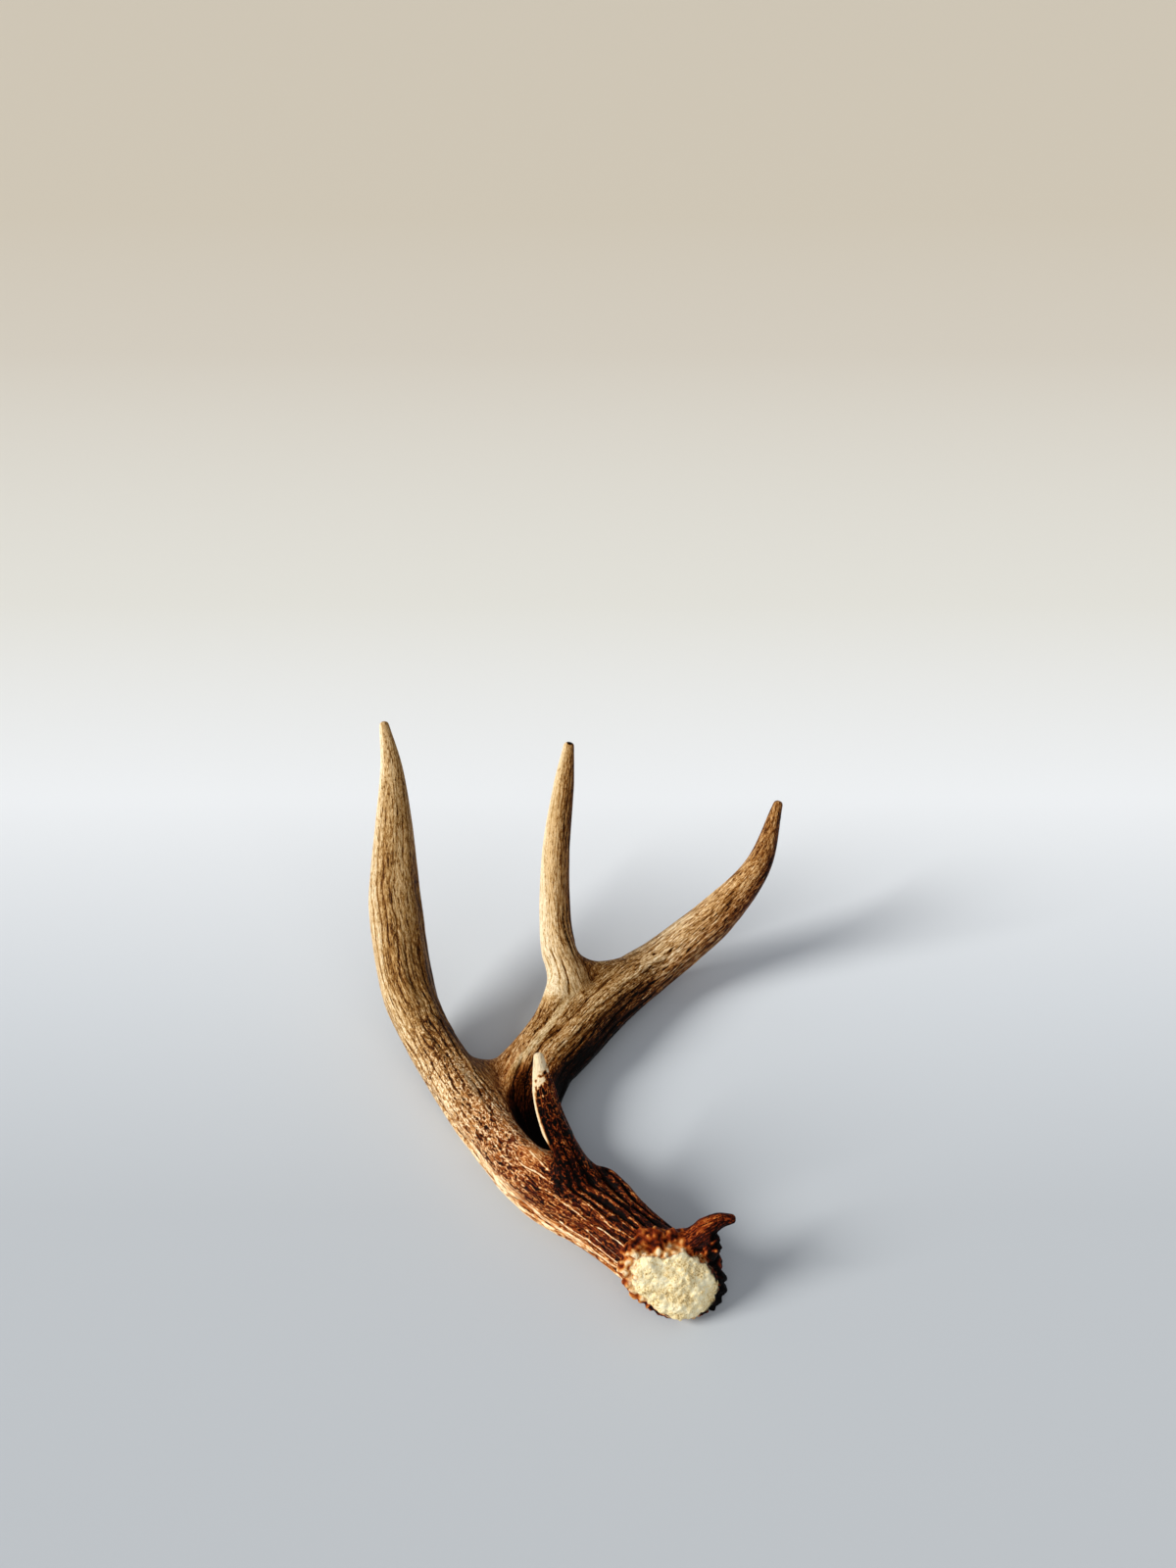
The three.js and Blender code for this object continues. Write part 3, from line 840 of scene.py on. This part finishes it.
def stain_and_shade_zones(look, fields, points, on_root):
    """The pale rib along the rim, the pale lip, the painted shade in the hollow and the warm bone's
    blots.
    """
    rib = (1 - smoothstep(0.5, 4, fields.rim.gap)) * smoothstep(65, 105, fields.rim.distance)
    rib *= 1 - smoothstep(0.4, 1.0, np.abs(fields.rim.lean))
    look.stain += rib * 0.9 * (0.24 - look.stain)
    look.warmth *= 1 - 0.8 * rib
    look.streak *= 1 - 0.6 * rib
    look.furrow_share *= 1 - rib
    lip = bell(np.linalg.norm(points - LIP_MIDDLE, axis=1), 0, 8)
    look.stain -= 0.2 * lip
    look.mottle *= 1 - 0.6 * lip
    # Painted shade fills the hollow under the rim.
    look.stain += fields.hollow_shade * (1.2 - look.stain)
    blots = ripple(points, 10, seed=76) + 0.5 * ripple(points, 4, seed=77)
    look.stain += 0.22 * blots * look.warmth * (1 - fields.hollow)
    foot = 1 - smoothstep(1, 9, fields.brow.gap + 12 * ripple(points, 7, seed=78))
    look.stain += 0.22 * foot * on_root


def crust_over(look, fields, points):
    """The seal's pores and crumbs, and the burr's crust, which is painted darker to the right and low by
    the floor as shade.
    """
    pores = ripple(points, 1.9, seed=71)
    crumbs = grains(points / 2.2, seed=72) - 0.45
    lumps = ripple(points, 8, seed=75)
    look.height += fields.seal * (1.2 * pores - 0.8 * crumbs + 3.4 * lumps)
    beads = 0.5 - grains(points / 3.1, seed=73)
    crust = ripple(points, 1.7, seed=74)
    look.height += fields.burr * (1.5 * beads + 1.3 * crust + 2.2 * lumps)
    # Painted shade: the burr's right side and its lowest part by the floor.
    shade = smoothstep(56, 64, points[:, 0]) + 0.5 * (1 - smoothstep(6, 14, points[:, 2]))
    rough = (0.9 * beads + 1.1 * crust) * (0.65 + 0.35 * shade)
    burr_stain_and_shade = 0.6 - rough - 0.4 * fields.seal_near * (1 - shade) + 0.42 * shade
    look.stain += fields.burr * (burr_stain_and_shade - look.stain)
    look.warmth = np.maximum(look.warmth, fields.burr)


# ---- Parting the skin at the forks

NODES = ["beam_base", "brow_tine", "second_tine", "beam_middle", "third_tine", "beam_end"]


def node_of(fields):
    """The number in NODES of the length that each point belongs to."""
    # The spur, which comes last in places, stays with the lower beam.
    gaps = np.stack([place.gap for place in fields.places[:-1]], axis=1)
    nearest = np.argmin(gaps, axis=1)
    on_stem, on_beam, on_third, on_brow = (nearest == branch for branch in range(4))
    number = np.zeros(len(gaps), int)
    beyond = {
        "beam_middle": (on_beam | on_third) & (fields.beam.share > BEAM_MIDDLE_START),
        "beam_end": on_beam & (fields.beam.share > BEAM_END_START),
        "third_tine": on_third & (fields.third.share > THIRD_TINE_START),
        "brow_tine": on_brow & (fields.brow.share > BROW_TINE_START),
        "second_tine": on_stem & (fields.stem.share > SECOND_TINE_START),
    }
    for node, there in beyond.items():
        number[there] = NODES.index(node)
    return number


def boundary_loops(triangles):
    """The open edges of a set of triangles, as closed loops of point numbers."""
    sides = np.vstack([triangles[:, [0, 1]], triangles[:, [1, 2]], triangles[:, [2, 0]]])
    present = set(map(tuple, sides.tolist()))
    following = {}
    for a, b in present:
        if (b, a) not in present:
            following.setdefault(b, []).append(a)
    loops = []
    while following:
        start = next(iter(following))
        loop, here = [], start
        while True:
            loop.append(here)
            ways = following[here]
            after = ways.pop()
            if not ways:
                del following[here]
            here = after
            if here == start:
                break
        loops.append(loop)
    return loops


def capped(points, triangles):
    """The triangles with a fan over each open loop, and the fans' middle points."""
    extra_points, fans = [], []
    for loop in boundary_loops(triangles):
        middle = len(points) + len(extra_points)
        extra_points.append(points[loop].mean(axis=0))
        fans.extend((a, b, middle) for a, b in zip(loop, loop[1:] + loop[:1]))
    if not fans:
        return triangles, np.empty((0, 3))
    return np.vstack([triangles, np.array(fans)]), np.array(extra_points)


# ---- Materials


def srgb(red, green, blue):
    """A colour given as 8-bit sRGB values, as the linear colour that a shader takes."""
    def linear(value):
        share = value / 255
        return share / 12.92 if share <= 0.04045 else ((share + 0.055) / 1.055) ** 2.4
    return (linear(red), linear(green), linear(blue), 1.0)


class Shader:
    """A material's node tree, with short calls for the nodes it is made of."""

    def __init__(self, name):
        self.material = bpy.data.materials.new(name)
        self.material.use_nodes = True
        self.tree = self.material.node_tree
        self.surface = self.tree.nodes["Principled BSDF"]

    def node(self, kind, inputs=(), **settings):
        made = self.tree.nodes.new(kind)
        for key, value in settings.items():
            setattr(made, key, value)
        for key, value in dict(inputs).items():
            self.put(made.inputs[key], value)
        return made

    def put(self, socket, value):
        if isinstance(value, bpy.types.NodeSocket):
            self.tree.links.new(value, socket)
        else:
            socket.default_value = value

    def give(self, name, value):
        """A value or a socket for one input of the surface."""
        self.put(self.surface.inputs[name], value)

    def attribute(self, name, output="Fac"):
        return self.node("ShaderNodeAttribute", attribute_name=name).outputs[output]

    def math(self, operation, first, second=0.0, third=0.0, clamp=False):
        inputs = {0: first, 1: second, 2: third}
        made = self.node("ShaderNodeMath", inputs, operation=operation, use_clamp=clamp)
        return made.outputs[0]

    def weighted(self, terms, start=0.0):
        """start plus the sum of each (share, value)."""
        total = start
        for share, value in terms:
            total = self.math("MULTIPLY_ADD", value, share, total)
        return total

    def span(self, value, low, high, to_low=0.0, to_high=1.0):
        inputs = {"Value": value, "From Min": low, "From Max": high, "To Min": to_low, "To Max": to_high}
        return self.node("ShaderNodeMapRange", inputs, interpolation_type="SMOOTHSTEP").outputs[0]

    def ramp(self, value, stops):
        """A colour ramp through (place, red, green, blue) stops, with 8-bit sRGB colours."""
        made = self.node("ShaderNodeValToRGB", {"Fac": value})
        elements = made.color_ramp.elements
        while len(elements) < len(stops):
            elements.new(1.0)
        for element, (place, *color) in zip(elements, stops):
            element.position = place
            element.color = srgb(*color)
        return made.outputs["Color"]

    def mix(self, factor, first, second):
        made = self.node("ShaderNodeMix", data_type="RGBA")
        for socket, value in ((0, factor), (6, first), (7, second)):
            self.put(made.inputs[socket], value)
        return made.outputs[2]

    def noise(self, vector, scale, detail, roughness):
        inputs = {"Vector": vector, "Scale": scale, "Detail": detail, "Roughness": roughness}
        return self.node("ShaderNodeTexNoise", inputs).outputs[0]

    def stretched(self, vector, stretch):
        inputs = {0: vector, 1: stretch}
        return self.node("ShaderNodeVectorMath", inputs, operation="MULTIPLY").outputs[0]


# The grain's coordinates are millimetres along, sideways and across. Each layer is a noise with
# this many lumps to a millimetre across the grain, and this share of that along it.
GRAIN_LAYERS = {
    "streaks": (0.95, 0.08, 2.0, 0.6),
    "fibres": (2.4, 0.1, 2.0, 0.6),
    "specks": (1.4, 0.35, 1.0, 0.5),
    "worms": (0.5, 0.5, 2.0, 0.6),
}
CHANNELS = ["grain_stem", "grain_beam", "grain_brow"]


def grain_layer(shader, name, weights):
    """One layer of grain, mixed from the branches that meet at a point, about nought."""
    scale, along, detail, roughness = GRAIN_LAYERS[name]
    total = -0.5
    for channel, weight in zip(CHANNELS, weights):
        vector = shader.attribute(channel, "Vector")
        stretched = shader.stretched(vector, (along, 1.0, 1.0))
        value = shader.noise(stretched, scale, detail, roughness)
        total = shader.math("MULTIPLY_ADD", value, weight, total)
    return total


def bone_material():
    shader = Shader("antler_bone")
    apart = shader.node("ShaderNodeSeparateXYZ", {0: shader.attribute("grain_share", "Vector")})
    weights = list(apart.outputs)
    streaks, fibres, specks, worms = (grain_layer(shader, name, weights) for name in GRAIN_LAYERS)
    stain, streak, mottle = (shader.attribute(name) for name in ("stain", "streak", "mottle"))
    seal = shader.attribute("seal")
    hollow = shader.attribute("hollow")

    def line(field, share, fray):
        """Where a field is near nought: a line that fine grain frays."""
        far = shader.math("ABSOLUTE", shader.attribute(field))
        frayed = shader.math("MULTIPLY_ADD", fray, 2.2, far)
        near = shader.span(frayed, 0.35, 1.0, 1.0, 0.0)
        return shader.math("MULTIPLY", near, shader.attribute(share))

    furrow = line("furrow", "furrow_share", specks)
    crest = line("crest", "crest_share", fibres)
    dots = shader.span(specks, 0.06, 0.14)
    dots = shader.math("MULTIPLY", dots, shader.span(streaks, -0.02, 0.06))
    dashes = shader.span(streaks, 0.09, 0.16)
    cracks = shader.span(shader.math("ABSOLUTE", streaks), 0.0, 0.024, 1.0, 0.0)
    cracks = shader.math("MULTIPLY", cracks, shader.span(specks, -0.06, 0.06))
    worm_lines = shader.span(shader.math("ABSOLUTE", worms), 0.008, 0.045, 1.0, 0.0)
    blotches = shader.span(worms, -0.14, 0.14, -1.0, 1.0)
    fleck = shader.weighted([(0.12, blotches), (-0.6, worm_lines), (0.8, specks)], 0.16)
    hair = shader.weighted([(0.7, streaks), (1.2, fibres), (0.3, cracks), (0.26, dashes)], -0.04)

    value = shader.math("MULTIPLY_ADD", hair, streak, stain)
    value = shader.math("MULTIPLY_ADD", fleck, mottle, value)
    value = shader.weighted([(0.15, dots), (0.56, furrow), (-0.6, crest)], value)
    value = shader.math("ADD", value, 0.0, clamp=True)

    tine = shader.ramp(value, [
        (0.0, 252, 236, 202), (0.25, 214, 184, 136), (0.45, 162, 126, 70),
        (0.62, 108, 68, 18), (0.8, 60, 26, 3), (1.0, 8, 3, 0),
    ])
    base = shader.ramp(value, [
        (0.0, 252, 230, 190), (0.25, 224, 164, 96), (0.45, 178, 94, 34),
        (0.62, 120, 42, 8), (0.8, 52, 10, 2), (1.0, 4, 1, 0),
    ])
    bone = shader.mix(shader.attribute("warmth"), tine, base)

    place = shader.node("ShaderNodeTexCoord").outputs["Object"]
    crumbs = shader.noise(place, 1100, 3.0, 0.65)
    clouds = shader.noise(place, 170, 2.0, 0.6)
    seal_value = shader.weighted([(0.75, crumbs), (0.6, clouds)], -0.17)
    seal_color = shader.ramp(seal_value, [
        (0.36, 255, 246, 210), (0.52, 250, 230, 178), (0.62, 222, 192, 132),
        (0.74, 120, 92, 56),
    ])
    color = shader.mix(seal, bone, seal_color)
    shader.give("Base Color", color)

    rough = shader.weighted([(0.5, fibres), (0.15, furrow), (0.45, seal), (0.4, hollow)], 0.42)
    shader.give("Roughness", rough)
    shader.give("Specular IOR Level", 0.05)

    fine = shader.weighted([(1.0, fibres), (1.0, worms), (-0.5, dots), (0.8, streaks)])
    bone_side = shader.math("SUBTRACT", 1.0, seal)
    height = shader.math("MULTIPLY", fine, bone_side)
    height = shader.math("MULTIPLY_ADD", crumbs, seal, height)
    bump = shader.node("ShaderNodeBump", {"Strength": 0.8, "Distance": 0.0008, "Height": height})
    shader.give("Normal", bump.outputs[0])
    return shader.material


# ---- The pieces


def antler_piece(name, points, normals, triangles, attributes, material):
    """One length of the antler as an object in metres, with its fields kept on its points."""
    used, local = np.unique(triangles, return_inverse=True)
    local = local.reshape(-1, 3)
    own_points = points[used]
    closed, middles = capped(own_points, local)
    all_points = np.vstack([own_points, middles])
    mesh = bpy.data.meshes.new(name)
    mesh.from_pydata((all_points * MM).tolist(), [], closed.tolist())
    for key, values in attributes.items():
        own = values[used]
        padded = np.vstack([own.reshape(len(used), -1), np.zeros((len(middles), own[0].size))])
        if own.ndim == 1:
            mesh.attributes.new(key, "FLOAT", "POINT").data.foreach_set("value", padded.ravel())
        else:
            mesh.attributes.new(key, "FLOAT_VECTOR", "POINT").data.foreach_set("vector", padded.ravel())
    mesh.shade_smooth()
    own_normals = np.vstack([normals[used], np.tile(UP, (len(middles), 1))])
    mesh.normals_split_custom_set_from_vertices(own_normals.tolist())
    mesh.materials.append(material)
    piece = linked(name, mesh)
    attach(piece, "root")
    return piece


# The skin is smoothed twice: lightly everywhere, with a rebound that keeps its bulk, and strongly
# at the forks.
EVEN_WEIGHT = 0.5
EVEN_ROUNDS = 4
EVEN_REBOUND = 1.05
MELT_WEIGHT = 0.8
MELT_ROUNDS = 90


def build_antler(material):
    points, edges, triangles = grow_skin()
    fields = Fields(points)
    everywhere = np.full(len(points), EVEN_WEIGHT)
    points = smoothed(points, edges, everywhere, EVEN_ROUNDS, EVEN_REBOUND)
    melt = MELT_WEIGHT * fields.fork * (1 - np.maximum(fields.burr, fields.seal))
    points = smoothed(points, edges, melt, MELT_ROUNDS, rebound=0)
    fields = Fields(points)
    normals = vertex_normals(points, triangles)
    look = look_of(points, fields)
    points = points + normals * look.height[:, None]
    points[:, 2] = np.maximum(points[:, 2], 0)
    normals = vertex_normals(points, triangles)
    share = np.stack([
        fields.weights[:, 0] + fields.weights[:, 2],
        fields.weights[:, 1],
        fields.weights[:, 3] + fields.weights[:, 4],
    ], axis=1)
    on_third = (fields.third.gap < fields.stem.gap)[:, None]
    on_spur = (fields.spur.gap < fields.brow.gap)[:, None]
    attributes = {
        "grain_stem": np.where(on_third, fields.third.grain, fields.stem.grain),
        "grain_beam": fields.beam.grain,
        "grain_brow": np.where(on_spur, fields.spur.grain, fields.brow.grain),
        "grain_share": share,
        "seal": fields.seal,
        "hollow": fields.hollow,
    }
    attributes.update({name: getattr(look, name) for name in Look.FIELDS[1:]})
    number = node_of(fields)
    votes = np.sort(number[triangles], axis=1)[:, 1]
    for order, node in enumerate(NODES):
        piece = antler_piece("antler_" + node, points, normals, triangles[votes == order],
                             attributes, material)
        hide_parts(node)


# ---- Floor, light and camera

CAMERA_PLACE = (0.00485, -0.460, 0.525)
CAMERA_PITCH = math.radians(35)
CAMERA_FOCAL_PIXELS = 1209
PICTURE_HEIGHT = 1600
SENSOR = 36.0

# The floor: half its side, and the two distances in metres, towards the antler's back, between
# which its colour passes from grey over a near white band of painted light to sand.
FLOOR_HALF = 30.0
FLOOR_NEAR = -0.3
FLOOR_FAR = 2.7


def build_camera():
    data = bpy.data.cameras.new("camera")
    data.sensor_fit = "VERTICAL"
    data.sensor_height = SENSOR
    data.lens = CAMERA_FOCAL_PIXELS / PICTURE_HEIGHT * SENSOR
    camera = linked("camera", data)
    camera.location = CAMERA_PLACE
    camera.rotation_euler = (math.pi / 2 - CAMERA_PITCH, 0, 0)
    bpy.context.scene.camera = camera


def build_floor():
    shader = Shader("floor")
    place = shader.node("ShaderNodeTexCoord").outputs["Object"]
    away = shader.node("ShaderNodeSeparateXYZ", {0: place}).outputs[1]
    reach = {"Value": away, "From Min": FLOOR_NEAR, "From Max": FLOOR_FAR}
    away = shader.node("ShaderNodeMapRange", reach).outputs[0]
    # The near white band is painted light, standing for the bright bend of a backdrop.
    color = shader.ramp(away, [
        (0.0, 190, 196, 202), (0.07, 194, 200, 206), (0.12, 214, 220, 226),
        (0.19, 240, 244, 248), (0.3, 228, 228, 222), (0.6, 214, 208, 196),
        (1.0, 210, 202, 186),
    ])
    shader.give("Base Color", color)
    shader.give("Roughness", 0.8)
    shader.give("Specular IOR Level", 0.1)
    mesh = bpy.data.meshes.new("floor")
    corners = [(x * FLOOR_HALF, y * FLOOR_HALF, 0) for x, y in ((-1, -1), (1, -1), (1, 1), (-1, 1))]
    mesh.from_pydata(corners, [], [(0, 1, 2, 3)])
    mesh.materials.append(shader.material)
    floor = linked("floor", mesh)


def sun(name, towards, spread, strength, color):
    """A soft far light; towards points at it from the antler, and spread is its width in degrees."""
    data = bpy.data.lights.new(name, "SUN")
    data.angle = math.radians(spread)
    data.energy = strength
    data.color = color
    light = linked(name, data)
    light.rotation_euler = Vector(towards).to_track_quat("Z", "Y").to_euler()


def build_lights():
    sun("key", (-1.0, -0.25, 0.6), spread=24, strength=3.6, color=(1.0, 0.97, 0.92))
    sun("fill", (0.1, -0.8, 0.6), spread=70, strength=0.7, color=(1.0, 0.98, 0.95))
    world = bpy.data.worlds.new("room")
    world.use_nodes = True
    background = world.node_tree.nodes["Background"]
    background.inputs["Color"].default_value = (0.93, 0.95, 1.0, 1.0)
    background.inputs["Strength"].default_value = 0.3
    bpy.context.scene.world = world
    bpy.context.scene.view_settings.view_transform = "Standard"


build_camera()
build_floor()
build_lights()
build_antler(bone_material())
